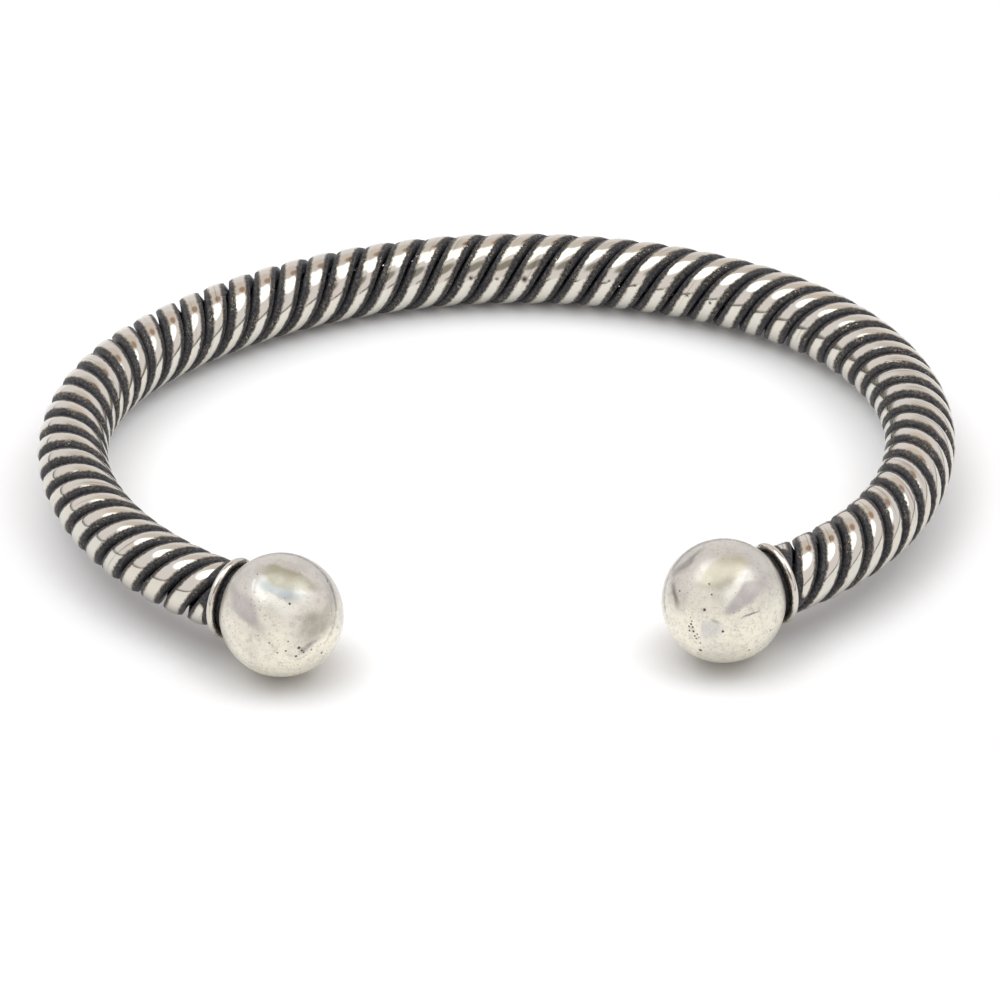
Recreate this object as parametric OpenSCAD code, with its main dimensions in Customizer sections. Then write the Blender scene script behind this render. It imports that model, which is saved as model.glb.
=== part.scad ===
// Open torque bangle: four round wires twisted left-handed round a bent core rod, with a
// polished ball and a thin neck ring on each end. Millimetres.
// It lies on its side, on both balls and on the back of the rope. +Z is up, the opening
// faces -Y, and the origin lies on the surface, under the middle of the outline.

/* [Rope] */
// Thickness of each twisted wire
wire_d = 1.63; // [1.2:0.01:2.2]
// Thickness of the core rod that the wires are twisted round
core_d = 1.94; // [1.6:0.02:3]
// Clearance between one wire and the next
wire_gap = 0.07; // [0.05:0.01:0.15]
// Clearance between the wires and the core rod
core_gap = 0.1; // [0.1:0.01:0.2]
// Angle round the rope at which the first wire starts, at the left end
strand_start_angle = 16; // [0:1:89]

/* [Bend] */
// Bend radius of the rope across the back of the wrist
back_bend_r = 37.2; // [33:0.1:42]
// Angle that the back stretch turns through
back_bend_angle = 77.7; // [68:0.1:86]
// Bend radius of the left side
left_side_bend_r = 21.7; // [19:0.1:25]
// Angle that the left side turns through
left_side_bend_angle = 57.3; // [50:0.1:64]
// Bend radius of the left front stretch, up to the left ball
left_front_bend_r = 27.6; // [24:0.1:32]
// Angle that the left front stretch turns through
left_front_bend_angle = 41.4; // [34:0.1:48]
// Bend radius of the right side
right_side_bend_r = 24.7; // [21:0.1:28]
// Angle that the right side turns through
right_side_bend_angle = 80.9; // [73:0.1:88]
// Bend radius of the right front stretch, up to the right ball
right_front_bend_r = 23.8; // [20:0.1:27]
// Angle that the right front stretch turns through
right_front_bend_angle = 35.5; // [29:0.1:42]

/* [Ball ends] */
// Diameter of each ball
ball_d = 9.4; // [7.5:0.1:11]
// Outer diameter of the thin ring between the rope and the ball
neck_ring_d = 6.3; // [5.8:0.1:7.2]
// Thickness of the ring's own wire
neck_ring_wire_d = 0.65; // [0.5:0.05:1]
// How deep the ring is let into the short neck inside it
neck_ring_seat = 0.1; // [0.05:0.01:0.2]
// Space between the ring and the ball, at their closest
neck_groove = 0.3; // [0.1:0.01:0.5]
// Clearance between the cut ends of the wires and the neck
end_gap = 0.06; // [0.05:0.01:0.15]
// Step from the core rod down to its thinner tip, which goes into the ball end
core_tip_step = 0.15; // [0.12:0.01:0.3]
// How far the tip of the core rod goes into the ball end
core_tip_length = 3.2; // [2:0.1:4.5]
// Clearance round the tip of the core rod
tip_gap = 0.05; // [0.03:0.01:0.1]

/* [Hidden] */
$fn = 96;

STRANDS = 4;
// Flat sides round one wire, and cross-sections of it in each turn round the core
WIRE_SIDES = 8;
SECTIONS_PER_TURN = 15;
// Flat sides round the core rod, and cross-sections of it along the rope
CORE_SIDES = 8;
CORE_SECTIONS = 56;
// Share of a turn in which a wire's cross-sections turn flush with its cut end
FLUSH_TURN = 0.5;
// Steps in which the outline of the rope is read for the outer size
OUTLINE_STEPS = 400;
SILVER = [0.82, 0.81, 0.79];
DARK_SILVER = [0.2, 0.2, 0.22];

// The rope's bends in order, from the left ball round the back to the right ball
BEND_R = 0;
BEND_ANGLE = 1;
BENDS = [
    // radius, angle
    [left_front_bend_r, left_front_bend_angle],
    [left_side_bend_r, left_side_bend_angle],
    [back_bend_r, back_bend_angle],
    [right_side_bend_r, right_side_bend_angle],
    [right_front_bend_r, right_front_bend_angle],
];

wire_r = wire_d / 2;
rope_d = core_d + 2 * (wire_d + core_gap);
helix_r = (core_d + wire_d) / 2 + core_gap;
core_tip_d = core_d - 2 * core_tip_step;
core_tip_root = core_tip_d / 2;
tightest_bend_r = min([for (bend = BENDS) bend[BEND_R]]);

// The wires lie side by side on the inner side of the tightest bend, where they are closest.
// One turn of the helix there holds the widths of all four wires.
wires_abreast = STRANDS * (wire_d + wire_gap);
turn_length = 2 * PI * helix_r;
twist_lead = wires_abreast * turn_length
    / (sqrt(pow(turn_length, 2) - pow(wires_abreast, 2)) * (1 - helix_r / tightest_bend_r));

// Where a bend ends: [x, y, heading, length so far]. The rope turns clockwise along its length.
function after_bend(from, bend) =
    let (heading = from[2] - bend[BEND_ANGLE],
         r = bend[BEND_R],
         centre = [from[0] + r * sin(from[2]), from[1] - r * cos(from[2])])
    [centre[0] - r * sin(heading), centre[1] + r * cos(heading), heading,
     from[3] + r * bend[BEND_ANGLE] * PI / 180];
function bend_start(i) = i == 0 ? [0, 0, 0, 0] : after_bend(bend_start(i - 1), BENDS[i - 1]);
STARTS = [for (i = [0 : len(BENDS)]) bend_start(i)];
rope_end = STARTS[len(BENDS)];
rope_length = rope_end[3];

// The middle of the rope at length s: [x, y, heading, bend radius]
function bend_number(s, i = 0) =
    i < len(BENDS) - 1 && s > STARTS[i + 1][3] ? bend_number(s, i + 1) : i;
function rope_at(s) =
    let (i = bend_number(s), r = BENDS[i][BEND_R],
         part = after_bend(STARTS[i], [r, (s - STARTS[i][3]) / r * 180 / PI]))
    [part[0], part[1], part[2], r];

// The ball end along its own axis, from the cut end of the rope
ball_r = ball_d / 2;
neck_ring_wire_r = neck_ring_wire_d / 2;
neck_ring_mid_r = neck_ring_d / 2 - neck_ring_wire_r;
neck_ring_at = end_gap + neck_ring_wire_r;
neck_d = neck_ring_d - 2 * (neck_ring_wire_d - neck_ring_seat);
ball_at = neck_ring_at
    + sqrt(pow(ball_r + neck_ring_wire_r + neck_groove, 2) - pow(neck_ring_mid_r, 2));

// How the bangle is turned so that both balls are level, and tipped so that it rests
function along(from, distance) =
    [from[0] + distance * cos(from[2]), from[1] + distance * sin(from[2])];
left_ball = along(STARTS[0], -ball_at);
right_ball = along(rope_end, ball_at);
level_turn = -atan2(right_ball[1] - left_ball[1], right_ball[0] - left_ball[0]);
function levelled(p) =
    [p[0] * cos(level_turn) - p[1] * sin(level_turn), p[0] * sin(level_turn) + p[1] * cos(level_turn)];
OUTLINE = [for (i = [0 : OUTLINE_STEPS]) levelled(rope_at(i * rope_length / OUTLINE_STEPS))];
x_low = min([for (p = OUTLINE) p[0]]);
x_high = max([for (p = OUTLINE) p[0]]);
y_back = max([for (p = OUTLINE) p[1]]);
y_balls = levelled(left_ball)[1];
rest_tilt = asin((ball_d - rope_d) / 2 / (y_back - y_balls));
y_middle = ((y_back + y_balls) * cos(rest_tilt) + rope_d / 2 - ball_r) / 2;

// Lays a piece made in the rope's own plane down on its side
module laid_down() {
    translate([-(x_low + x_high) / 2, -y_middle, ball_r + y_balls * sin(rest_tilt)])
        rotate([-rest_tilt, 0, 0])
            rotate([0, 0, level_turn])
                children();
}

// Turns +X of a piece along the rope's heading at a place
module placed_at(place) {
    translate([place[0], place[1], 0]) rotate([0, 0, place[2]]) children();
}

// One twisted wire. At length s its middle lies at wire_angle round the rope, counted from the
// outer side of the bend towards the top. The rope's own directions there are ahead, out and up.
function wire_angle(s, number) =
    strand_start_angle + 360 / STRANDS * number - 360 * s / twist_lead;

// How fast the wire runs along the rope and round it, for each millimetre of the rope
function pace(s, number) =
    [1 + helix_r * cos(wire_angle(s, number)) / rope_at(s)[3], turn_length / twist_lead];

// Part of the wire's side direction that points along the rope
function side_ahead(s, number) = let (p = pace(s, number)) -p[1] / norm(p);

// A point of the wire's skin, side_angle round it from its outermost line: [ahead, out, up]
function skin_offset(s, number, side_angle) =
    let (angle = wire_angle(s, number),
         side_round = -pace(s, number)[0] / norm(pace(s, number)),
         outward = helix_r + wire_r * cos(side_angle),
         sideways = wire_r * sin(side_angle))
    [sideways * side_ahead(s, number),
     outward * cos(angle) - sideways * side_round * sin(angle),
     outward * sin(angle) + sideways * side_round * cos(angle)];

// The same point in the rope's plane. flush is 1 at a cut end, where the skin ends level.
function skin_point(s, number, side_angle, flush, cut) =
    let (lean = wire_r * sin(side_angle) * side_ahead(s, number) / pace(s, number)[0],
         at = max(0, min(rope_length, s - flush * lean)),
         place = rope_at(cut ? s : at),
         offset = skin_offset(s - flush * lean, number, side_angle),
         ahead = cut ? 0 : offset[0] + (s - flush * lean - at))
    [place[0] + ahead * cos(place[2]) - offset[1] * sin(place[2]),
     place[1] + ahead * sin(place[2]) + offset[1] * cos(place[2]),
     offset[2]];

module strand(number) {
    sections = ceil(rope_length / twist_lead * SECTIONS_PER_TURN);
    flush_length = twist_lead * FLUSH_TURN;
    points = [
        for (j = [0 : sections])
            let (s = j * rope_length / sections,
                 flush = max(0, 1 - min(s, rope_length - s) / flush_length))
                for (i = [0 : WIRE_SIDES - 1])
                    skin_point(s, number, 360 * i / WIRE_SIDES, flush, j == 0 || j == sections)
    ];
    laid_down() skinned(points, sections, WIRE_SIDES);
}

// Closes a row of cross-sections, each with the same number of points, into one solid
module skinned(points, sections, sides) {
    skin = [
        for (j = [0 : sections - 1], i = [0 : sides - 1])
            let (a = j * sides + i,
                 b = j * sides + (i + 1) % sides)
                each [[a, b, a + sides], [b, b + sides, a + sides]]
    ];
    first_cap = [for (i = [sides - 1 : -1 : 0]) i];
    last_cap = [for (i = [0 : sides - 1]) sections * sides + i];
    polyhedron(points, concat([first_cap], skin, [last_cap]), convexity = 10);
}

module strand_1() {
    color(SILVER) strand(0);
}

module strand_2() {
    color(SILVER) strand(1);
}

module strand_3() {
    color(SILVER) strand(2);
}

module strand_4() {
    color(SILVER) strand(3);
}

// The bent rod in the middle of the rope, with a straight thinner tip in each ball end
module core_rod() {
    points = [
        for (j = [0 : CORE_SECTIONS])
            let (place = rope_at(j * rope_length / CORE_SECTIONS))
                for (i = [0 : CORE_SIDES - 1])
                    let (out = core_d / 2 * cos(360 * i / CORE_SIDES))
                        [place[0] - out * sin(place[2]),
                         place[1] + out * cos(place[2]),
                         -core_d / 2 * sin(360 * i / CORE_SIDES)]
    ];
    color(DARK_SILVER) laid_down() union() {
        skinned(points, CORE_SECTIONS, CORE_SIDES);
        placed_at(STARTS[0]) rotate([0, -90, 0]) core_tip();
        placed_at(rope_end) rotate([0, 90, 0]) core_tip();
    }
}

// One tip, with its axis along +Z. It is rooted in the rod, and leaves it at Z = 0.
module core_tip() {
    translate([0, 0, -core_tip_root])
        cylinder(d = core_tip_d, h = core_tip_length + core_tip_root);
}

// Ball, neck and neck ring in one piece, with a blind bore for the core rod's tip.
// It is drawn with its axis along +Z, and the rope is cut at Z = 0.
module ball_end() {
    difference() {
        union() {
            translate([0, 0, ball_at]) sphere(r = ball_r);
            translate([0, 0, end_gap]) cylinder(d = neck_d, h = ball_at - end_gap);
            translate([0, 0, neck_ring_at])
                rotate_extrude() translate([neck_ring_mid_r, 0]) circle(r = neck_ring_wire_r);
        }
        cylinder(d = core_tip_d + 2 * tip_gap, h = core_tip_length + tip_gap);
    }
}

module ball_end_left() {
    color(SILVER) laid_down() placed_at(STARTS[0]) rotate([0, -90, 0]) ball_end();
}

module ball_end_right() {
    color(SILVER) laid_down() placed_at(rope_end) rotate([0, 90, 0]) ball_end();
}

core_rod();
strand_1();
strand_2();
strand_3();
strand_4();
ball_end_left();
ball_end_right();
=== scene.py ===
"""Open torque bangle of four oxidised silver wires twisted round a core, with a worn ball and a
thin neck ring on each end. It lies on its side on a white table. All lengths are in metres."""
import math

import bmesh
import bpy
from mathutils import Matrix, Vector, noise


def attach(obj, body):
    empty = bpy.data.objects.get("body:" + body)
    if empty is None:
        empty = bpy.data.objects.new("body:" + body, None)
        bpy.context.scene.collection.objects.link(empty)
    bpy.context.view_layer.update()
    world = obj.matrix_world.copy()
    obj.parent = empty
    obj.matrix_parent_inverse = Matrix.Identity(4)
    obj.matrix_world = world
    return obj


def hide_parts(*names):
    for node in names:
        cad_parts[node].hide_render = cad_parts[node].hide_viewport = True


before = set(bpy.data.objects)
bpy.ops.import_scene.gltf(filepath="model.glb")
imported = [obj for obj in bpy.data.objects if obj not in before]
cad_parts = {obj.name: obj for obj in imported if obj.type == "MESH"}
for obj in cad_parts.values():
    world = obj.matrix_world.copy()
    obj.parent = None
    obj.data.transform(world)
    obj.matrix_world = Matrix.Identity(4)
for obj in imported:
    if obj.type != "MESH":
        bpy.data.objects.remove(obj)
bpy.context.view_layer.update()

MM = 0.001

# Rope, as in the part's source
WIRE_D = 1.63 * MM
CORE_D = 1.94 * MM
WIRE_GAP = 0.07 * MM
CORE_GAP = 0.1 * MM
STRANDS = 4
START_ANGLE = 16
# Bend radius and angle of each stretch, from the left ball round the back to the right ball
BENDS = [
    (27.6 * MM, 41.4),
    (21.7 * MM, 57.3),
    (37.2 * MM, 77.7),
    (24.7 * MM, 80.9),
    (23.8 * MM, 35.5),
]

# Ball ends, as in the part's source
BALL_D = 9.4 * MM
RING_D = 6.3 * MM
RING_WIRE_D = 0.65 * MM
RING_SEAT = 0.1 * MM
NECK_GROOVE = 0.3 * MM
END_GAP = 0.06 * MM

# Fineness of the new pieces
WIRE_SIDES = 24
SECTIONS_PER_TURN = 28
RING_SIDES = 24
RING_STEPS = 96
BALL_DIVISIONS = 6
# Places along the rope where its outline is measured, to lay it down
OUTLINE_STEPS = 400

# Each wire is extruded this far past both ends of the rope and then cut flush
SPARE_LENGTH = WIRE_D * 1.2
# What lies nearer than this to an end takes part in the cut
CUT_REACH = 3 * WIRE_D
# How square the outer half of a wire's section is: 1 is round, less is flatter on the crest
CREST_ROUNDNESS = 0.7
# The wires are drawn tight into each other: outside the first share of its radius a wire's flank
# stays up as a shoulder that falls by this slope, so that the groove is shallow. The widest points
# of the section, past the second share, stay where they are.
SHOULDER_FROM = 0.6
SHOULDER_TO = 0.99
SHOULDER_AT = 0.91
SHOULDER_SLOPE = 0.45
# Oxide is left where a wire's surface lies further from its crest line than this share of its
# radius, and a little further still on the outside of the bangle, where wear polishes more
POLISHED_WIDTH = 0.61
OUTSIDE_WEAR = 0.09
# Polished half width of a neck ring and how far it is shifted towards the rope, in its wire's radii
RING_POLISHED_WIDTH = 1.1
RING_POLISH_SHIFT = 0.15
# How fast the oxide's level falls across a ring, against a wire: less leaves a more ragged edge
RING_SLOPE = 0.6
# Oxide is left in the corner where the wires run into a ring, over this length
END_OXIDE = 0.85 * MM
# Depth of the shallow dents that hand polishing left on the balls, and their usual width
DENT_DEPTH = 0.05 * MM
DENT_WIDTH = 2.6 * MM
# Added to the dents' noise, which lies round 0, so that more than half of the surface is dented
DENT_BIAS = 0.2
# Depth of the single knocks
KNOCK_DEPTH = 0.09 * MM

WIRE_R = WIRE_D / 2
ROPE_D = CORE_D + 2 * (WIRE_D + CORE_GAP)
HELIX_R = (CORE_D + WIRE_D) / 2 + CORE_GAP
BALL_R = BALL_D / 2
RING_WIRE_R = RING_WIRE_D / 2
RING_MID_R = RING_D / 2 - RING_WIRE_R
RING_AT = END_GAP + RING_WIRE_R
NECK_D = RING_D - 2 * (RING_WIRE_D - RING_SEAT)
BALL_AT = RING_AT + math.sqrt((BALL_R + RING_WIRE_R + NECK_GROOVE) ** 2 - RING_MID_R ** 2)

# The lead at which four wires lie side by side on the tightest bend
turn_length = 2 * math.pi * HELIX_R
wires_abreast = STRANDS * (WIRE_D + WIRE_GAP)
tightest_bend = min(bend_r for bend_r, bend_angle in BENDS)
TWIST_LEAD = wires_abreast * turn_length / (
    math.sqrt(turn_length ** 2 - wires_abreast ** 2) * (1 - HELIX_R / tightest_bend))


# The rope's middle line: stretches of constant bend, each turning clockwise seen from above

def after_bend(start, radius, angle):
    """Where a bend ends: x, y, heading, length so far. Angle in radians."""
    x, y, heading, length = start
    centre_x = x + radius * math.sin(heading)
    centre_y = y - radius * math.cos(heading)
    heading -= angle
    return (centre_x - radius * math.sin(heading), centre_y + radius * math.cos(heading),
            heading, length + radius * angle)


STARTS = [(0.0, 0.0, 0.0, 0.0)]
for bend_r, bend_angle in BENDS:
    STARTS.append(after_bend(STARTS[-1], bend_r, math.radians(bend_angle)))
ROPE_LENGTH = STARTS[-1][3]


def rope_at(s):
    """x, y, heading and bend radius of the rope's middle at length s."""
    number = max(i for i in range(len(BENDS)) if i == 0 or s > STARTS[i][3])
    radius = BENDS[number][0]
    x, y, heading, length = after_bend(STARTS[number], radius, (s - STARTS[number][3]) / radius)
    return x, y, heading, radius


def straight_on(place, distance):
    """x, y at a distance along a place's heading."""
    return (place[0] + distance * math.cos(place[2]), place[1] + distance * math.sin(place[2]))


# How the bangle is turned so that both balls are level, and tipped so that it rests
left_ball = straight_on(STARTS[0], -BALL_AT)
right_ball = straight_on(STARTS[-1], BALL_AT)
level_turn = -math.atan2(right_ball[1] - left_ball[1], right_ball[0] - left_ball[0])


def levelled(x, y):
    return (x * math.cos(level_turn) - y * math.sin(level_turn),
            x * math.sin(level_turn) + y * math.cos(level_turn))


outline = [levelled(*rope_at(i * ROPE_LENGTH / OUTLINE_STEPS)[:2])
           for i in range(OUTLINE_STEPS + 1)]
y_back = max(y for x, y in outline)
y_balls = levelled(*left_ball)[1]
rest_tilt = math.asin((BALL_D - ROPE_D) / 2 / (y_back - y_balls))
x_middle = (min(x for x, y in outline) + max(x for x, y in outline)) / 2
y_middle = ((y_back + y_balls) * math.cos(rest_tilt) + ROPE_D / 2 - BALL_R) / 2
LAID_DOWN = (Matrix.Translation((-x_middle, -y_middle, BALL_R + y_balls * math.sin(rest_tilt)))
             @ Matrix.Rotation(-rest_tilt, 4, "X") @ Matrix.Rotation(level_turn, 4, "Z"))


def placed(x, y, heading):
    """Turns +X of a piece along the rope's heading at a place."""
    return LAID_DOWN @ Matrix.Translation((x, y, 0)) @ Matrix.Rotation(heading, 4, "Z")


# +Z of a ball end points away from the rope, at the left end and at the right end
LEFT_END = placed(*STARTS[0][:3]) @ Matrix.Rotation(math.radians(-90), 4, "Y")
RIGHT_END = placed(*STARTS[-1][:3]) @ Matrix.Rotation(math.radians(90), 4, "Y")

# Camera axes at the photograph's angle. The marks on the balls are placed along them.
CAMERA_AZIMUTH = 0.0336
CAMERA_ELEVATION = 0.5808
CAMERA_ROLL = -0.0135
CAMERA_DISTANCE = 2.2649
CAMERA_LENS = 1080
CAMERA_SENSOR = 36
LOOK_AT = Vector((0, -0.006857, 0.00312))
forward = Vector((math.sin(CAMERA_AZIMUTH) * math.cos(CAMERA_ELEVATION),
                  math.cos(CAMERA_AZIMUTH) * math.cos(CAMERA_ELEVATION),
                  -math.sin(CAMERA_ELEVATION)))
level_right = forward.cross(Vector((0, 0, 1))).normalized()
level_up = level_right.cross(forward)
RIGHT = level_right * math.cos(CAMERA_ROLL) + level_up * math.sin(CAMERA_ROLL)
UP = level_up * math.cos(CAMERA_ROLL) - level_right * math.sin(CAMERA_ROLL)


def new_piece(name, bm, cad_node, material):
    """Makes an object of a bmesh, lets it ride and stand for a CAD node, and paints it."""
    bmesh.ops.recalc_face_normals(bm, faces=bm.faces)
    mesh = bpy.data.meshes.new(name)
    for face in bm.faces:
        face.smooth = True
    bm.to_mesh(mesh)
    bm.free()
    mesh.materials.append(material)
    piece = bpy.data.objects.new(name, mesh)
    bpy.context.scene.collection.objects.link(piece)
    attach(piece, "root")
    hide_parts(cad_node)
    return piece


# Shader node helpers

def node(tree, kind, **settings):
    made = tree.nodes.new(kind)
    for name, value in settings.items():
        setattr(made, name, value)
    return made


def feed(tree, target, value):
    """Links an output to a socket, or writes a value into it."""
    if isinstance(value, bpy.types.NodeSocket):
        tree.links.new(value, target)
    else:
        target.default_value = value


def maths(tree, operation, a, b=0.0):
    made = node(tree, "ShaderNodeMath", operation=operation)
    feed(tree, made.inputs[0], a)
    feed(tree, made.inputs[1], b)
    return made.outputs[0]


def rest_of(tree, share):
    return maths(tree, "SUBTRACT", 1.0, share)


def vector_maths(tree, operation, *values):
    made = node(tree, "ShaderNodeVectorMath", operation=operation)
    for i, value in enumerate(values):
        feed(tree, made.inputs[i], value)
    return made.outputs["Value" if operation in ("LENGTH", "DOT_PRODUCT") else "Vector"]


def parts_of(tree, vector):
    """The X, Y and Z of a vector, by name."""
    made = node(tree, "ShaderNodeSeparateXYZ")
    feed(tree, made.inputs[0], vector)
    return made.outputs


def ramp(tree, value, low, high, to_low=0.0, to_high=1.0):
    """Smooth step of a value from low to high."""
    made = node(tree, "ShaderNodeMapRange", interpolation_type="SMOOTHSTEP")
    feed(tree, made.inputs["Value"], value)
    feed(tree, made.inputs["From Min"], low)
    feed(tree, made.inputs["From Max"], high)
    feed(tree, made.inputs["To Min"], to_low)
    feed(tree, made.inputs["To Max"], to_high)
    return made.outputs["Result"]


def mixed(tree, share, a, b):
    made = node(tree, "ShaderNodeMix", data_type="RGBA")
    feed(tree, made.inputs["Factor"], share)
    feed(tree, made.inputs["A"], a)
    feed(tree, made.inputs["B"], b)
    return made.outputs["Result"]


def noise_at(tree, vector, scale, detail=1.0, roughness=0.5, output="Fac"):
    made = node(tree, "ShaderNodeTexNoise")
    feed(tree, made.inputs["Vector"], vector)
    feed(tree, made.inputs["Scale"], scale)
    feed(tree, made.inputs["Detail"], detail)
    feed(tree, made.inputs["Roughness"], roughness)
    return made.outputs[output]


def bumped(tree, shader, relief, strength, depth):
    made = node(tree, "ShaderNodeBump")
    made.inputs["Strength"].default_value = strength
    made.inputs["Distance"].default_value = depth
    feed(tree, made.inputs["Height"], relief)
    feed(tree, shader.inputs["Normal"], made.outputs["Normal"])


def new_group(name, inputs, outputs):
    tree = bpy.data.node_groups.new(name, "ShaderNodeTree")
    for socket, kind, value in inputs:
        made = tree.interface.new_socket(socket, in_out="INPUT", socket_type=kind)
        if value is not None:
            made.default_value = value
    for socket, kind in outputs:
        tree.interface.new_socket(socket, in_out="OUTPUT", socket_type=kind)
    return tree, node(tree, "NodeGroupInput").outputs, node(tree, "NodeGroupOutput").inputs


def use_group(tree, group, **values):
    made = node(tree, "ShaderNodeGroup", node_tree=group)
    for name, value in values.items():
        feed(tree, made.inputs[name], value)
    return made.outputs


def new_material(name):
    material = bpy.data.materials.new(name)
    material.use_nodes = True
    tree = material.node_tree
    tree.nodes.clear()
    shader = node(tree, "ShaderNodeBsdfPrincipled")
    out = node(tree, "ShaderNodeOutputMaterial")
    tree.links.new(shader.outputs["BSDF"], out.inputs["Surface"])
    position = node(tree, "ShaderNodeTexCoord").outputs["Object"]
    return material, tree, shader, position


# Middle value of every noise
NOISE_MIDDLE = 0.5

# Oxide left in the low places: polished 1 on the crest, 0 in the groove, with a ragged edge
# and single bright specks in the oxide near it. Height and Level are in wire radii.
OXIDE_BLACK = (0.022, 0.022, 0.027, 1)
OXIDE_GREY = (0.075, 0.072, 0.068, 1)
# How the oxide's edge wanders: noise scale, and reach in wire radii
EDGE_WANDER = ((900, 0.16), (3600, 0.26), (9000, 0.14))
EDGE_SOFTNESS = 0.03
FRINGE_WIDTH = 0.2
SPECK_SCALE = 8000
SPECK_CLUSTER_SCALE = 700
# From none to full: over which noise values specks and their clusters show, and at which heights
# against the oxide's level
SPECK_SHOWS = (0.59, 0.65)
SPECK_CLUSTER_SHOWS = (0.48, 0.6)
SPECK_HEIGHTS = (-0.7, -0.15)
# Scale, detail and roughness of the oxide's grain, and the values over which it turns grey
GRAIN_NOISE = (5200, 2, 0.7)
GRAIN_GREY = (0.4, 0.68)
oxide_group, given, put = new_group(
    "ragged_oxide",
    [("Position", "NodeSocketVector", None), ("Height", "NodeSocketFloat", 0.0),
     ("Level", "NodeSocketFloat", 0.5)],
    [("Polished", "NodeSocketFloat"), ("Fringe", "NodeSocketFloat"), ("Grain", "NodeSocketFloat"),
     ("Oxide", "NodeSocketColor")])
tree = oxide_group
height = given["Height"]
for scale, reach in EDGE_WANDER:
    wander = maths(tree, "SUBTRACT", noise_at(tree, given["Position"], scale), NOISE_MIDDLE)
    height = maths(tree, "ADD", height, maths(tree, "MULTIPLY", wander, reach))
above = maths(tree, "SUBTRACT", height, given["Level"])
polished = ramp(tree, above, -EDGE_SOFTNESS, EDGE_SOFTNESS)
cluster = noise_at(tree, given["Position"], SPECK_CLUSTER_SCALE)
speck = ramp(tree, noise_at(tree, given["Position"], SPECK_SCALE), *SPECK_SHOWS)
speck = maths(tree, "MULTIPLY", speck, ramp(tree, cluster, *SPECK_CLUSTER_SHOWS))
speck = maths(tree, "MULTIPLY", speck, ramp(tree, above, *SPECK_HEIGHTS))
feed(tree, put["Polished"], maths(tree, "MAXIMUM", polished, speck))
feed(tree, put["Fringe"], ramp(tree, above, EDGE_SOFTNESS, FRINGE_WIDTH, 1.0, 0.0))
grain = noise_at(tree, given["Position"], *GRAIN_NOISE)
feed(tree, put["Grain"], grain)
feed(tree, put["Oxide"], mixed(tree, ramp(tree, grain, *GRAIN_GREY), OXIDE_BLACK, OXIDE_GREY))

# Worn polish: tone changes slowly, fine scratches run every way
# Scale, detail and roughness of each noise
TONE_NOISE = (380, 3, 0.6)
HAZE_NOISE = (2600, 4, 0.7)
# Three lots of scratches: how each is turned, and its noise scale
SCRATCH_LOTS = (((0.5, 0.3, 0.9), 5200), ((1.4, 0.2, -0.6), 6100), ((0.2, 1.1, 0.3), 4600))
# Noise that is drawn out along one way makes scratches
SCRATCH_STRETCH = (1, 0.05, 1)
SCRATCH_SHOWS = (0.68, 0.78)
polish_group, given, put = new_group(
    "worn_polish", [("Position", "NodeSocketVector", None)],
    [("Tone", "NodeSocketFloat"), ("Haze", "NodeSocketFloat"), ("Scratches", "NodeSocketFloat")])
tree = polish_group
feed(tree, put["Tone"], noise_at(tree, given["Position"], *TONE_NOISE))
feed(tree, put["Haze"], noise_at(tree, given["Position"], *HAZE_NOISE))
scratches = 0.0
for turn, scale in SCRATCH_LOTS:
    stretched = node(tree, "ShaderNodeMapping")
    feed(tree, stretched.inputs["Vector"], given["Position"])
    stretched.inputs["Rotation"].default_value = turn
    stretched.inputs["Scale"].default_value = SCRATCH_STRETCH
    line = noise_at(tree, stretched.outputs[0], scale)
    scratches = maths(tree, "MAXIMUM", scratches, ramp(tree, line, *SCRATCH_SHOWS))
feed(tree, put["Scratches"], scratches)

# One soft oval patch: centre and half sizes in the units of Seen, Core the share at full tone
patch_group, given, put = new_group(
    "soft_patch",
    [("Seen", "NodeSocketVector", None), ("Centre", "NodeSocketVector", None),
     ("Turn", "NodeSocketFloat", 0.0), ("Size", "NodeSocketVector", None),
     ("Core", "NodeSocketFloat", 0.4)],
    [("Mask", "NodeSocketFloat")])
tree = patch_group
turned = node(tree, "ShaderNodeVectorRotate", rotation_type="Z_AXIS")
feed(tree, turned.inputs["Vector"], vector_maths(tree, "SUBTRACT", given["Seen"], given["Centre"]))
feed(tree, turned.inputs["Angle"], given["Turn"])
reach = vector_maths(tree, "LENGTH",
                     vector_maths(tree, "DIVIDE", turned.outputs[0], given["Size"]))
feed(tree, put["Mask"], ramp(tree, reach, 1.0, given["Core"]))

# Twisted wires and neck rings: polished crest, black groove
SILVER = (0.66, 0.645, 0.585, 1)
WARM_SILVER = (0.68, 0.64, 0.56, 1)
TARNISHED = (0.19, 0.155, 0.105, 1)
STREAKED = (0.3, 0.27, 0.235, 1)
PIT_BROWN = (0.06, 0.048, 0.035, 1)
# Tone values over which the silver turns warm
WARM_TONES = (0.4, 0.7)
FRINGE_STRENGTH = 0.85
# Drawing marks: how often the noise changes along the wire, per metre, and round it, per turn
DRAWN_ALONG = 180
DRAWN_AROUND = 30
DRAWN_DETAIL = 2
DRAWN_SHOWS = (0.56, 0.7)
DRAWN_STRENGTH = 0.75
DRAWN_CLUSTER_SCALE = 240
DRAWN_CLUSTER_SHOWS = (0.45, 0.6)
# The silver's roughness by its haze: haze from and to, roughness from and to
WIRE_GLOSS = (0.35, 0.7, 0.06, 0.13)
OXIDE_SPECULAR = 0.2
OXIDE_ROUGHNESS = 0.45
WIRE_RELIEF = 0.03 * MM
WIRE_RELIEF_STRENGTH = 0.5
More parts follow.
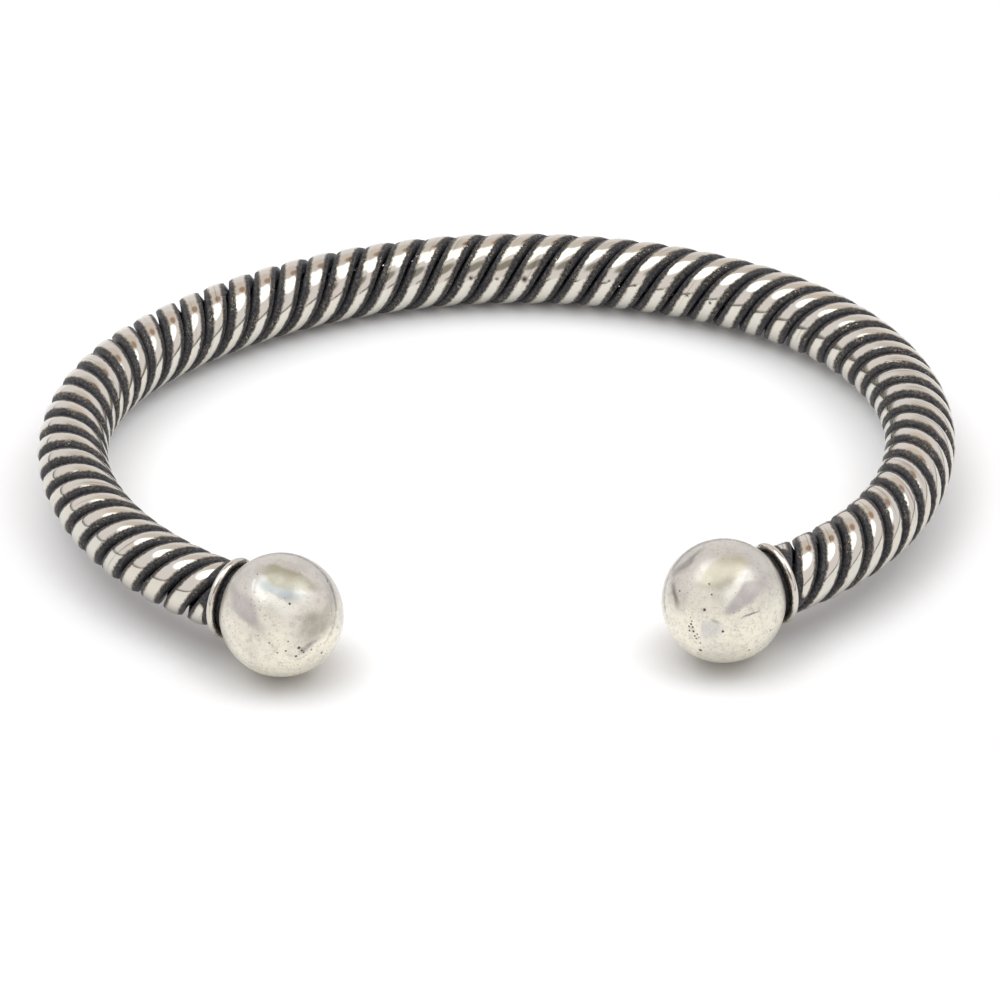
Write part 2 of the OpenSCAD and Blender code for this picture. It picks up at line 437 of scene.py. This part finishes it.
# Corrosion pits on the wires at the back of the bangle: middle in mm, half size in mm
WIRE_PITS = [
    ((3.12, 23.31, 3.38), 0.42), ((11.49, 21.67, 3.6), 0.2), ((9.53, 22.29, 3.65), 0.17),
    ((15.38, 20.06, 3.5), 0.24), ((17.09, 19.15, 3.39), 0.2), ((-0.97, 23.42, 3.58), 0.3),
    ((1.02, 23.42, 3.42), 0.24), ((-2.28, 23.36, 2.4), 0.3), ((-29.27, -15.82, 3.55), 0.12),
]
# Share of such a pit that is brown all over, and the haze values over which it shows
WIRE_PIT_CORE = 0.1
WIRE_PIT_SHOWS = (0.36, 0.5)
wire_material, tree, shader, position = new_material("oxidised_wire")
crest = node(tree, "ShaderNodeAttribute", attribute_name="crest").outputs["Fac"]
run = node(tree, "ShaderNodeAttribute", attribute_name="along").outputs["Fac"]
turn = node(tree, "ShaderNodeAttribute", attribute_name="around").outputs["Fac"]
drawn = node(tree, "ShaderNodeCombineXYZ")
feed(tree, drawn.inputs[0], maths(tree, "MULTIPLY", run, DRAWN_ALONG))
feed(tree, drawn.inputs[1], maths(tree, "MULTIPLY", turn, DRAWN_AROUND))
streaks = ramp(tree, noise_at(tree, drawn.outputs[0], 1.0, DRAWN_DETAIL), *DRAWN_SHOWS)
cluster = ramp(tree, noise_at(tree, position, DRAWN_CLUSTER_SCALE), *DRAWN_CLUSTER_SHOWS)
streaks = maths(tree, "MULTIPLY", streaks, cluster)
to_end = maths(tree, "MINIMUM", run, maths(tree, "SUBTRACT", ROPE_LENGTH, run))
crest = maths(tree, "SUBTRACT", crest, ramp(tree, to_end, END_OXIDE, 0.0))
oxide = use_group(tree, oxide_group, Position=position, Height=crest, Level=1 - POLISHED_WIDTH)
polish = use_group(tree, polish_group, Position=position)
bright = mixed(tree, ramp(tree, polish["Tone"], *WARM_TONES), SILVER, WARM_SILVER)
bright = mixed(tree, maths(tree, "MULTIPLY", streaks, DRAWN_STRENGTH), bright, STREAKED)
bright = mixed(tree, maths(tree, "MULTIPLY", oxide["Fringe"], FRINGE_STRENGTH), bright, TARNISHED)
rust = 0.0
for middle, size in WIRE_PITS:
    spot = use_group(tree, patch_group, Seen=position, Centre=[v * MM for v in middle],
                     Size=[size * MM] * 3, Core=WIRE_PIT_CORE)["Mask"]
    rust = maths(tree, "MAXIMUM", rust, spot)
rust = maths(tree, "MULTIPLY", rust, ramp(tree, polish["Haze"], *WIRE_PIT_SHOWS))
bright = mixed(tree, rust, bright, PIT_BROWN)
feed(tree, shader.inputs["Base Color"], mixed(tree, oxide["Polished"], oxide["Oxide"], bright))
feed(tree, shader.inputs["Metallic"], oxide["Polished"])
shader.inputs["Specular IOR Level"].default_value = OXIDE_SPECULAR
gloss = ramp(tree, polish["Haze"], *WIRE_GLOSS)
rough = maths(tree, "MULTIPLY", rest_of(tree, oxide["Polished"]), OXIDE_ROUGHNESS)
feed(tree, shader.inputs["Roughness"], maths(tree, "MAXIMUM", gloss, rough))
relief = maths(tree, "MULTIPLY", oxide["Grain"], rest_of(tree, oxide["Polished"]))
relief = maths(tree, "ADD", relief, oxide["Polished"])
bumped(tree, shader, relief, WIRE_RELIEF_STRENGTH, WIRE_RELIEF)

# Core rod and necks: all oxide, because no height reaches this level
OXIDE_ONLY = 5.0
# Grain from and to, roughness from and to
CORE_GLOSS = (0.3, 0.7, 0.4, 0.65)
core_material, tree, shader, position = new_material("oxidised_core")
oxide = use_group(tree, oxide_group, Position=position, Level=OXIDE_ONLY)
feed(tree, shader.inputs["Base Color"], oxide["Oxide"])
feed(tree, shader.inputs["Roughness"], ramp(tree, oxide["Grain"], *CORE_GLOSS))

# Worn balls, with painted reflections and shade among their stains
BALL_METALLIC = 0.45
BALL_COAT = 0.25
BALL_COAT_ROUGHNESS = 0.1
# Haze from and to, roughness from and to
BALL_GLOSS = (0.3, 0.7, 0.27, 0.36)
# How deep pits, scratches and haze go, as shares of the relief's depth; haze stands up a little
BALL_RELIEF = 0.06 * MM
BALL_RELIEF_STRENGTH = 0.6
PIT_RELIEF = -1.0
SCRATCH_RELIEF = -0.4
HAZE_RELIEF = 0.1
# Height over the ball's middle, in ball radii, over which cream turns to silver; the cream below is
# a painted reflection of the white table
CREAM_TO_SILVER = (-0.6, 0.7)
# Tone or haze from and to, share of dull grey from and to
DULL_TONES = (0.45, 0.7, 0.0, 0.35)
DULL_HAZE = (0.47, 0.7, 0.0, 0.55)
# Cosine of the half angle that the oxide round a ball's neck spans, and how fast its height
# falls with that cosine
NECK_OXIDE = 0.77
NECK_OXIDE_SLOPE = 4.0
# Patches wander off their outline: noise scale and detail, and reach in ball radii
PATCH_WANDER_SCALE = 330
PATCH_WANDER_DETAIL = 3
PATCH_WANDER = 0.4
# Patches lie on the side that faces the camera: depth of their middle and half depth, in ball radii
PATCH_DEPTH = 0.7
PATCH_HALF_DEPTH = 1.4
# Patches are mottled: scale, detail and roughness, then noise from and to, strength from and to
MOTTLE_NOISE = (900, 4, 0.6)
MOTTLE = (0.25, 0.6, 0.6, 1.0)
FINE_PIT_SCALE = 2600
FINE_PIT_EDGE = (0.24, 0.1)
FINE_PIT_CLUSTER_SCALE = 420
FINE_PIT_CLUSTER_SHOWS = (0.46, 0.62)
FINE_PIT_STRENGTH = 0.4
SCRATCH_STRENGTH = 0.22
# The thin line near a ball's edge, a painted reflection: half width in ball radii, and strength
LINE_HALF_WIDTH = 0.026
LINE_STRENGTH = 0.7
# Where that line begins and is full: towards its middle, on the viewer's side, and in the haze
LINE_ENDS = (0.1, 0.5)
LINE_FRONT = (0.0, 0.05)
LINE_SHOWS = (0.3, 0.55)
# How much wider than its size below a pit's soft edge spreads, and its share that is all dark
PIT_SPREAD = 1.12
PIT_CORE = 0.45
BALL_SILVER = (0.56, 0.535, 0.49, 1)
# Painted reflection of the white table on the lower half of each ball
TABLE_REFLECTION_CREAM = (0.86, 0.83, 0.69, 1)
DULL_GREY = (0.4, 0.38, 0.355, 1)
OLIVE = (0.45, 0.42, 0.325, 1)
DARK_OLIVE = (0.4, 0.38, 0.31, 1)
DEEP_OLIVE = (0.35, 0.33, 0.25, 1)
# Painted reflection inside the right ball's lower knock
KNOCK_REFLECTION_GREY = (0.59, 0.58, 0.55, 1)
DULL_BLUE = (0.37, 0.4, 0.395, 1)
LILAC_GREY = (0.455, 0.425, 0.41, 1)
# Painted highlight: a small pale streak on the left ball's upper left
PAINTED_HIGHLIGHT_PALE = (0.72, 0.72, 0.71, 1)
# Painted light: a bright cream patch on each ball's middle, lifting the dim reflection there
PAINTED_LIGHT_CREAM = (0.95, 0.93, 0.84, 1)
SHADOW_GREY = (0.27, 0.255, 0.23, 1)
# Painted reflection: the thin dark line near a ball's upper edge
PAINTED_RIM_REFLECTION = (0.16, 0.15, 0.14, 1)
PIT_DARK = (0.045, 0.04, 0.03, 1)
# Thin painted reflection line: centre right and up, radius, all in ball radii, and the way its
# middle lies
LEFT_ARC = ((-0.03, 0.09), 0.9, Vector((0.75, 0.65, 0)))
RIGHT_ARC = ((0.015, 0.02), 0.965, Vector((-0.6, 0.8, 0)))
# Patches, partly stains and partly painted reflections and shade: centre right and up, turn in
# degrees, half sizes, share of full tone, colour
LEFT_PATCHES = [
    # Painted light in the ball's middle
    ((0.08, 0.08), 10, (0.36, 0.24), 0.2, PAINTED_LIGHT_CREAM),
    ((-0.55, 0.13), -55, (0.55, 0.17), 0.45, LILAC_GREY),
    ((-0.01, 0.40), -22, (0.54, 0.16), 0.5, DULL_BLUE),
    ((0.10, 0.60), -20, (0.57, 0.2), 0.6, DEEP_OLIVE),
    # Painted highlight
    ((-0.47, 0.50), 78, (0.15, 0.035), 0.2, PAINTED_HIGHLIGHT_PALE),
    ((0.53, -0.2), 52, (0.48, 0.26), 0.3, DARK_OLIVE),
    ((0.42, -0.47), 25, (0.22, 0.07), 0.2, SHADOW_GREY),
]
RIGHT_PATCHES = [
    # Painted light in the ball's middle
    ((0.1, 0.16), 30, (0.36, 0.24), 0.2, PAINTED_LIGHT_CREAM),
    ((-0.03, 0.44), 26, (0.56, 0.25), 0.6, OLIVE),
    ((0.36, 0.13), 36, (0.62, 0.19), 0.5, LILAC_GREY),
    ((-0.58, 0.62), 36, (0.42, 0.08), 0.2, SHADOW_GREY),
    ((-0.8, 0.09), -73, (0.3, 0.075), 0.2, SHADOW_GREY),
    # Painted reflection in the knock, then the painted shade in it
    ((-0.19, -0.45), 20, (0.25, 0.27), 0.2, KNOCK_REFLECTION_GREY),
    ((-0.14, -0.31), -30, (0.12, 0.06), 0.1, DARK_OLIVE),
    ((0.45, -0.17), 38, (0.24, 0.024), 0.2, SHADOW_GREY),
]
# Pits: right, up, size, in ball radii
LEFT_PITS = [
    (0.14, 0.18, 0.025), (0.06, 0.27, 0.016), (0.285, -0.52, 0.03), (0.33, -0.565, 0.02),
    (0.36, -0.594, 0.018), (0.486, -0.553, 0.018), (0.237, -0.655, 0.026), (0.647, -0.603, 0.026),
    (0.076, -0.57, 0.018), (-0.058, -0.603, 0.016), (-0.19, -0.445, 0.018), (-0.37, -0.327, 0.016),
    (0.113, -0.418, 0.015), (0.739, 0.534, 0.02), (0.89, -0.195, 0.015), (-0.38, 0.653, 0.014),
]
RIGHT_PITS = [
    (-0.31, -0.141, 0.03), (-0.527, -0.37, 0.024), (-0.557, -0.407, 0.02), (-0.5, -0.42, 0.022),
    (-0.55, -0.475, 0.022), (-0.487, -0.487, 0.024), (-0.427, -0.532, 0.018),
    (-0.465, -0.559, 0.02), (-0.438, -0.603, 0.018), (-0.377, -0.674, 0.018),
    (-0.372, -0.786, 0.036), (-0.538, -0.269, 0.016), (-0.516, -0.324, 0.018),
    (-0.017, -0.487, 0.026), (-0.706, 0.158, 0.02), (-0.195, 0.101, 0.018),
    (-0.234, 0.27, 0.016), (0.405, -0.786, 0.022), (0.748, -0.47, 0.018),
]
# Knocks: right, up, half width, in ball radii
LEFT_KNOCKS = [(0.55, -0.2, 0.4), (-0.1, 0.42, 0.35)]
RIGHT_KNOCKS = [(-0.19, -0.38, 0.24), (-0.6, 0.6, 0.3), (0.3, 0.1, 0.4)]


def stains_and_painted_light(tree, colour, position, seen, patches):
    """Lays the patches, stains and painted reflections and shade, with wandering outlines and
    mottled, over a ball's colour.
    """
    wander = vector_maths(
        tree, "SUBTRACT",
        noise_at(tree, position, PATCH_WANDER_SCALE, PATCH_WANDER_DETAIL, output="Color"),
        [NOISE_MIDDLE] * 3)
    bent = vector_maths(tree, "MULTIPLY_ADD", wander, [PATCH_WANDER] * 3, seen)
    mottle = ramp(tree, noise_at(tree, position, *MOTTLE_NOISE), *MOTTLE)
    for spot, angle, size, core, tone in patches:
        mask = use_group(tree, patch_group, Seen=bent, Centre=(*spot, PATCH_DEPTH),
                         Turn=math.radians(-angle), Size=(*size, PATCH_HALF_DEPTH),
                         Core=core)["Mask"]
        colour = mixed(tree, maths(tree, "MULTIPLY", mask, mottle), colour, tone)
    return colour


def painted_rim_reflection_line(tree, seen, toward_viewer, haze, arc):
    """Mask of the thin dark line just inside a ball's upper edge, a painted reflection."""
    centre, radius, middle_way = arc
    off = vector_maths(tree, "MULTIPLY",
                       vector_maths(tree, "SUBTRACT", seen, (*centre, 0)), (1, 1, 0))
    line = maths(tree, "SUBTRACT", vector_maths(tree, "LENGTH", off), radius)
    line = ramp(tree, maths(tree, "ABSOLUTE", line), LINE_HALF_WIDTH, 0.0)
    for part in (ramp(tree, vector_maths(tree, "DOT_PRODUCT", off, middle_way), *LINE_ENDS),
                 ramp(tree, toward_viewer, *LINE_FRONT), ramp(tree, haze, *LINE_SHOWS)):
        line = maths(tree, "MULTIPLY", line, part)
    return maths(tree, "MULTIPLY", line, LINE_STRENGTH)


def pitted_at(tree, position, seen, pits):
    """Mask of a ball's single pits and of the clusters of fine ones."""
    pitted = 0.0
    for x, y, size in pits:
        depth = math.sqrt(max(0.0, 1 - x * x - y * y))
        mask = use_group(tree, patch_group, Seen=seen, Centre=(x, y, depth),
                         Size=[size * PIT_SPREAD] * 3, Core=PIT_CORE)["Mask"]
        pitted = maths(tree, "MAXIMUM", pitted, mask)
    cells = node(tree, "ShaderNodeTexVoronoi")
    feed(tree, cells.inputs["Vector"], position)
    cells.inputs["Scale"].default_value = FINE_PIT_SCALE
    cluster = ramp(tree, noise_at(tree, position, FINE_PIT_CLUSTER_SCALE), *FINE_PIT_CLUSTER_SHOWS)
    fine = maths(tree, "MULTIPLY", ramp(tree, cells.outputs["Distance"], *FINE_PIT_EDGE), cluster)
    return maths(tree, "MAXIMUM", pitted, maths(tree, "MULTIPLY", fine, FINE_PIT_STRENGTH))


def ball_material(name, end, arc, patches, pits):
    """Hazy worn silver with its own stains, painted reflections and shade, and pits, placed as they
    are seen in the photograph.
    """
    material, tree, shader, position = new_material(name)
    away = vector_maths(tree, "SUBTRACT", position, end @ Vector((0, 0, BALL_AT)))
    towards = node(tree, "ShaderNodeCombineXYZ")
    for i, axis in enumerate((RIGHT, UP, -forward)):
        feed(tree, towards.inputs[i], vector_maths(tree, "DOT_PRODUCT", away, axis / BALL_R))
    seen = towards.outputs[0]
    sides = parts_of(tree, seen)
    polish = use_group(tree, polish_group, Position=position)
    # Painted reflection: cream on the lower half, where the ball would show the white table
    colour = mixed(tree, ramp(tree, sides["Y"], *CREAM_TO_SILVER), TABLE_REFLECTION_CREAM, BALL_SILVER)
    colour = mixed(tree, ramp(tree, polish["Tone"], *DULL_TONES), colour, DULL_GREY)
    colour = mixed(tree, ramp(tree, polish["Haze"], *DULL_HAZE), colour, DULL_GREY)
    # Stains together with painted reflections and shade
    colour = stains_and_painted_light(tree, colour, position, seen, patches)
    line = painted_rim_reflection_line(tree, seen, sides["Z"], polish["Haze"], arc)
    # Painted reflection: a thin dark line near the ball's edge
    colour = mixed(tree, line, colour, PAINTED_RIM_REFLECTION)
    worn = maths(tree, "MULTIPLY", polish["Scratches"], SCRATCH_STRENGTH)
    colour = mixed(tree, worn, colour, DULL_GREY)
    pitted = pitted_at(tree, position, seen, pits)
    colour = mixed(tree, pitted, colour, PIT_DARK)
    # Oxide left round the neck
    neck_way = end.to_3x3() @ Vector((0, 0, -1 / BALL_R))
    near_neck = vector_maths(tree, "DOT_PRODUCT", away, neck_way)
    oxide = use_group(tree, oxide_group, Position=position,
                      Height=maths(tree, "MULTIPLY", near_neck, -NECK_OXIDE_SLOPE),
                      Level=-NECK_OXIDE_SLOPE * NECK_OXIDE)
    feed(tree, shader.inputs["Base Color"], mixed(tree, oxide["Polished"], oxide["Oxide"], colour))
    feed(tree, shader.inputs["Metallic"], maths(tree, "MULTIPLY", oxide["Polished"], BALL_METALLIC))
    feed(tree, shader.inputs["Roughness"], ramp(tree, polish["Haze"], *BALL_GLOSS))
    shader.inputs["Coat Roughness"].default_value = BALL_COAT_ROUGHNESS
    feed(tree, shader.inputs["Coat Weight"], maths(tree, "MULTIPLY", oxide["Polished"], BALL_COAT))
    relief = maths(tree, "MULTIPLY", pitted, PIT_RELIEF)
    for mark, depth in ((worn, SCRATCH_RELIEF), (polish["Haze"], HAZE_RELIEF)):
        relief = maths(tree, "ADD", relief, maths(tree, "MULTIPLY", mark, depth))
    bumped(tree, shader, relief, BALL_RELIEF_STRENGTH, BALL_RELIEF)
    return material


ball_materials = {
    "left": ball_material("worn_ball_left", LEFT_END, LEFT_ARC, LEFT_PATCHES, LEFT_PITS),
    "right": ball_material("worn_ball_right", RIGHT_END, RIGHT_ARC, RIGHT_PATCHES, RIGHT_PITS),
}

core_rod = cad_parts["core_rod"]
core_rod.data.materials.clear()
core_rod.data.materials.append(core_material)


def wire_angle(s, number):
    """Where one wire lies round the rope: 0 on the outside of the bangle, a quarter turn on top."""
    return math.radians(START_ANGLE + 360 / STRANDS * number) - 2 * math.pi * s / TWIST_LEAD


def wire_frame(s, number):
    """Place of one wire's middle at rope length s: +Z along the wire, +X away from the core."""
    x, y, heading, radius = rope_at(s)
    angle = wire_angle(s, number)
    ahead = Vector((math.cos(heading), math.sin(heading), 0))
    out = Vector((-math.sin(heading), math.cos(heading), 0))
    up = Vector((0, 0, 1))
    outward = out * math.cos(angle) + up * math.sin(angle)
    round_rope = up * math.cos(angle) - out * math.sin(angle)
    run = ahead * (1 + HELIX_R * math.cos(angle) / radius) - round_rope * (turn_length / TWIST_LEAD)
    run.normalize()
    side = run.cross(outward)
    middle = Vector((x, y, 0)) + outward * HELIX_R
    turned = Matrix((outward, side, run)).transposed().to_4x4()
    return LAID_DOWN @ Matrix.Translation(middle) @ turned


def wear_layers(bm):
    """What the wires' finish reads: how near a point is to the crest, along the rope, round it."""
    return [bm.verts.layers.float.new(name) for name in ("crest", "along", "around")]


def twisted_wire(number):
    """One round wire, extruded section by section round the rope and cut flush at both ends."""
    bm = bmesh.new()
    crest_layer, along_layer, around_layer = wear_layers(bm)
    sections = math.ceil(ROPE_LENGTH / TWIST_LEAD * SECTIONS_PER_TURN)
    step = (ROPE_LENGTH + 2 * SPARE_LENGTH) / sections
    here = wire_frame(-SPARE_LENGTH, number)
    ring = bmesh.ops.create_circle(bm, radius=WIRE_R, segments=WIRE_SIDES, matrix=here)["verts"]
    for vert in ring:
        place = here.inverted() @ vert.co
        around = math.atan2(place.y, place.x)
        vert[around_layer] = around / (2 * math.pi) + number
        vert[along_layer] = -SPARE_LENGTH
        if place.x > 0:
            across = abs(math.sin(around)) ** CREST_ROUNDNESS
            out = math.cos(around) ** CREST_ROUNDNESS
            if SHOULDER_FROM < across < SHOULDER_TO:
                out = max(out, SHOULDER_AT - SHOULDER_SLOPE * (across - SHOULDER_FROM))
            place.x = WIRE_R * out
            place.y = math.copysign(WIRE_R * across, place.y)
            vert[crest_layer] = 1 - across
            vert.co = here @ place
    worn = 0.0
    edges = list(bm.edges)
    for i in range(1, sections + 1):
        s = i * step - SPARE_LENGTH
        there = wire_frame(s, number)
        made = bmesh.ops.extrude_edge_only(bm, edges=edges)["geom"]
        ring = [g for g in made if isinstance(g, bmesh.types.BMVert)]
        edges = [g for g in made if isinstance(g, bmesh.types.BMEdge)
                 and all(v in ring for v in g.verts)]
        bmesh.ops.transform(bm, matrix=there @ here.inverted(), verts=ring)
        wear = OUTSIDE_WEAR * math.cos(wire_angle(s, number))
        ahead = placed(*rope_at(s)[:3]).to_3x3() @ Vector((1, 0, 0))
        for vert in ring:
            vert[along_layer] = s + (vert.co - there.translation).dot(ahead)
            vert[crest_layer] += wear - worn
        here, worn = there, wear
    for s, sense in ((0, -1), (ROPE_LENGTH, 1)):
        rope_end = placed(*rope_at(s)[:3])
        end_verts = {v for v in bm.verts if abs(v[along_layer] - s) < CUT_REACH}
        end_parts = [part for part in bm.edges[:] + bm.faces[:] if end_verts.issuperset(part.verts)]
        cut = bmesh.ops.bisect_plane(
            bm, geom=list(end_verts) + end_parts, plane_co=rope_end.translation,
            plane_no=rope_end.to_3x3() @ Vector((sense, 0, 0)), clear_outer=True)
        rim = [g for g in cut["geom_cut"] if isinstance(g, bmesh.types.BMEdge)]
        bmesh.ops.edgeloop_fill(bm, edges=rim)
    return bm


def neck_ring(end):
    """Thin round ring, with the same finish as the wires: polished towards the rope."""
    bm = bmesh.new()
    crest_layer, along_layer, around_layer = wear_layers(bm)
    profile = bmesh.ops.create_circle(bm, radius=RING_WIRE_R, segments=RING_SIDES,
                                      matrix=Matrix.Translation((RING_MID_R, 0, RING_AT))
                                      @ Matrix.Rotation(math.radians(90), 4, "X"))
    for vert in profile["verts"]:
        rise = vert.co.z - RING_AT
        off = abs(rise / RING_WIRE_R + RING_POLISH_SHIFT)
        vert[crest_layer] = 1 - POLISHED_WIDTH + RING_SLOPE * (RING_POLISHED_WIDTH - off)
        vert[along_layer] = ROPE_LENGTH / 2
        vert[around_layer] = math.atan2(rise, vert.co.x - RING_MID_R) / (2 * math.pi)
    bmesh.ops.spin(bm, geom=profile["verts"] + bm.edges[:], cent=(0, 0, 0), axis=(0, 0, 1),
                   angle=2 * math.pi, steps=RING_STEPS, use_merge=True)
    bmesh.ops.transform(bm, matrix=end, verts=bm.verts)
    return bm


def neck(end):
    bm = bmesh.new()
    bmesh.ops.create_cone(bm, cap_ends=True, segments=RING_STEPS, radius1=NECK_D / 2,
                          radius2=NECK_D / 2, depth=BALL_AT - END_GAP,
                          matrix=end @ Matrix.Translation((0, 0, (BALL_AT + END_GAP) / 2)))
    return bm


def ball(end, knocks):
    """A ball with shallow dents all over and the single knocks seen in the photograph."""
    bm = bmesh.new()
    bmesh.ops.create_icosphere(bm, subdivisions=BALL_DIVISIONS, radius=BALL_R)
    turned = end.to_3x3()
    for vert in bm.verts:
        outward = (turned @ vert.co).normalized()
        depth = DENT_DEPTH * max(0.0, noise.noise(outward * BALL_R / DENT_WIDTH) + DENT_BIAS)
        for x, y, width in knocks:
            middle = RIGHT * x + UP * y - forward * math.sqrt(1 - x * x - y * y)
            reach = (outward - middle).length / width
            if reach < 1:
                depth += KNOCK_DEPTH * (1 - reach * reach) ** 2
        vert.co -= vert.co.normalized() * depth
    bmesh.ops.transform(bm, matrix=end @ Matrix.Translation((0, 0, BALL_AT)), verts=bm.verts)
    return bm


for number in range(STRANDS):
    name = f"strand_{number + 1}"
    new_piece(f"wire_{number + 1}", twisted_wire(number), name, wire_material)

for side, end, knocks in (("left", LEFT_END, LEFT_KNOCKS), ("right", RIGHT_END, RIGHT_KNOCKS)):
    cad_node = f"ball_end_{side}"
    new_piece(f"neck_ring_{side}", neck_ring(end), cad_node, wire_material)
    new_piece(f"neck_{side}", neck(end), cad_node, core_material)
    new_piece(f"ball_{side}", ball(end, knocks), cad_node, ball_materials[side])

# White table
TABLE_HALF_SIZE = 3
TABLE_WHITE = (0.7, 0.7, 0.7, 1)
TABLE_ROUGHNESS = 0.7
# Painted pool of light: the table gives off a little light of its own, less of it away from the
# bangle
TABLE_GLOW = (0.24, 0.243, 0.245, 1)
GLOW_FULL_TO = 24 * MM
GLOW_FADED_AT = 55 * MM
GLOW_FADED = 0.55
# How far the table looks for the bangle over it, for its painted contact shadow, which takes the
# glow out
SHADOW_REACH = 5 * MM
SHADOW_SAMPLES = 8
# Share of open sky at which the shadow begins and is full, and the same for its darkest line
SHADOW_EDGE = (0.93, 0.5)
DARKEST_EDGE = (0.42, 0.12)
# The shadow is full in front of the first Y and nearly gone, but for its darkest line, behind
# the second
SHADOW_FULL_Y = -18 * MM
SHADOW_FAINT_Y = 4 * MM
SHADOW_FAINT = 0.15
floor_material, tree, shader, position = new_material("table")
shader.inputs["Base Color"].default_value = TABLE_WHITE
from_middle = vector_maths(tree, "LENGTH", position)
glow = ramp(tree, from_middle, GLOW_FULL_TO, GLOW_FADED_AT, 1.0, GLOW_FADED)
# Painted contact shadow: the glow is taken out where little open sky is seen
open_sky = node(tree, "ShaderNodeAmbientOcclusion", samples=SHADOW_SAMPLES)
open_sky.inputs["Distance"].default_value = SHADOW_REACH
covered = maths(tree, "MULTIPLY", ramp(tree, open_sky.outputs["AO"], *SHADOW_EDGE),
                ramp(tree, parts_of(tree, position)["Y"], SHADOW_FULL_Y, SHADOW_FAINT_Y,
                     1.0, SHADOW_FAINT))
covered = maths(tree, "MAXIMUM", covered, ramp(tree, open_sky.outputs["AO"], *DARKEST_EDGE))
glow = maths(tree, "MULTIPLY", glow, rest_of(tree, covered))
feed(tree, shader.inputs["Emission Color"], mixed(tree, glow, (0, 0, 0, 1), TABLE_GLOW))
shader.inputs["Emission Strength"].default_value = 1.0
shader.inputs["Roughness"].default_value = TABLE_ROUGHNESS
bm = bmesh.new()
bmesh.ops.create_grid(bm, x_segments=1, y_segments=1, size=TABLE_HALF_SIZE)
floor_mesh = bpy.data.meshes.new("table")
bm.to_mesh(floor_mesh)
bm.free()
floor_mesh.materials.append(floor_material)
floor = bpy.data.objects.new("table", floor_mesh)
bpy.context.scene.collection.objects.link(floor)

# Light: a pale surround with soft panels in it, bright overhead and at both sides, dim in front
SURROUND = (0.79, 0.755, 0.77, 1)
HORIZON = (0.25, 0.25, 0.25, 1)
# Rise, as a share of 1, over which the dark horizon turns pale, and the way sideways over which
# it shows at all
HORIZON_RISE = (0.03, 0.14)
HORIZON_SIDES = (0.3, 0.7)
# Share of a panel's half size at which it begins and is full
PANEL_EDGE = (1.0, 0.55)
LIGHT_STRENGTH = 1.2
# Soft panels: azimuth from the viewer's side towards the right, elevation, half sizes, colour
PANELS = [
    (175, 48, (0.6, 0.5, 0.45), (0.68, 0.62, 0.58)),
    (-97, 64, (0.5, 0.55, 0.3), (2.4, 2.44, 2.48)),
    (88, 60, (0.42, 0.45, 0.42), (2.4, 2.44, 2.48)),
    (180, 89, (0.55, 0.34, 0.3), (1.7, 1.72, 1.7)),
    (148, 50, (0.26, 0.2, 0.16), (0.42, 0.28, 0.21)),
    (2, 42, (0.58, 0.42, 0.3), (0.3, 0.285, 0.25)),
]
world = bpy.data.worlds.new("studio")
bpy.context.scene.world = world
world.use_nodes = True
tree = world.node_tree
direction = vector_maths(tree, "NORMALIZE", node(tree, "ShaderNodeTexCoord").outputs["Generated"])
ways = parts_of(tree, direction)
light = mixed(tree, ramp(tree, ways["Z"], *HORIZON_RISE), HORIZON, SURROUND)
sideways = maths(tree, "ABSOLUTE", ways["X"])
light = mixed(tree, ramp(tree, sideways, *HORIZON_SIDES), SURROUND, light)
for azimuth, elevation, half_sizes, colour in PANELS:
    a, e = math.radians(azimuth), math.radians(elevation)
    centre = (math.sin(a) * math.cos(e), -math.cos(a) * math.cos(e), math.sin(e))
    off = vector_maths(tree, "SUBTRACT", direction, centre)
    scaled = vector_maths(tree, "DIVIDE", off, half_sizes)
    panel = ramp(tree, vector_maths(tree, "LENGTH", scaled), *PANEL_EDGE)
    light = mixed(tree, panel, light, (*colour, 1))
tree.links.new(light, tree.nodes["Background"].inputs["Color"])
tree.nodes["Background"].inputs["Strength"].default_value = LIGHT_STRENGTH

# Camera
camera_data = bpy.data.cameras.new("camera")
camera_data.sensor_width = CAMERA_SENSOR
camera_data.lens = CAMERA_LENS
camera = bpy.data.objects.new("camera", camera_data)
camera.matrix_world = (Matrix.Translation(LOOK_AT - forward * CAMERA_DISTANCE)
                       @ Matrix((RIGHT, UP, -forward)).transposed().to_4x4())
bpy.context.scene.collection.objects.link(camera)
bpy.context.scene.camera = camera
bpy.context.scene.view_settings.view_transform = "Standard"
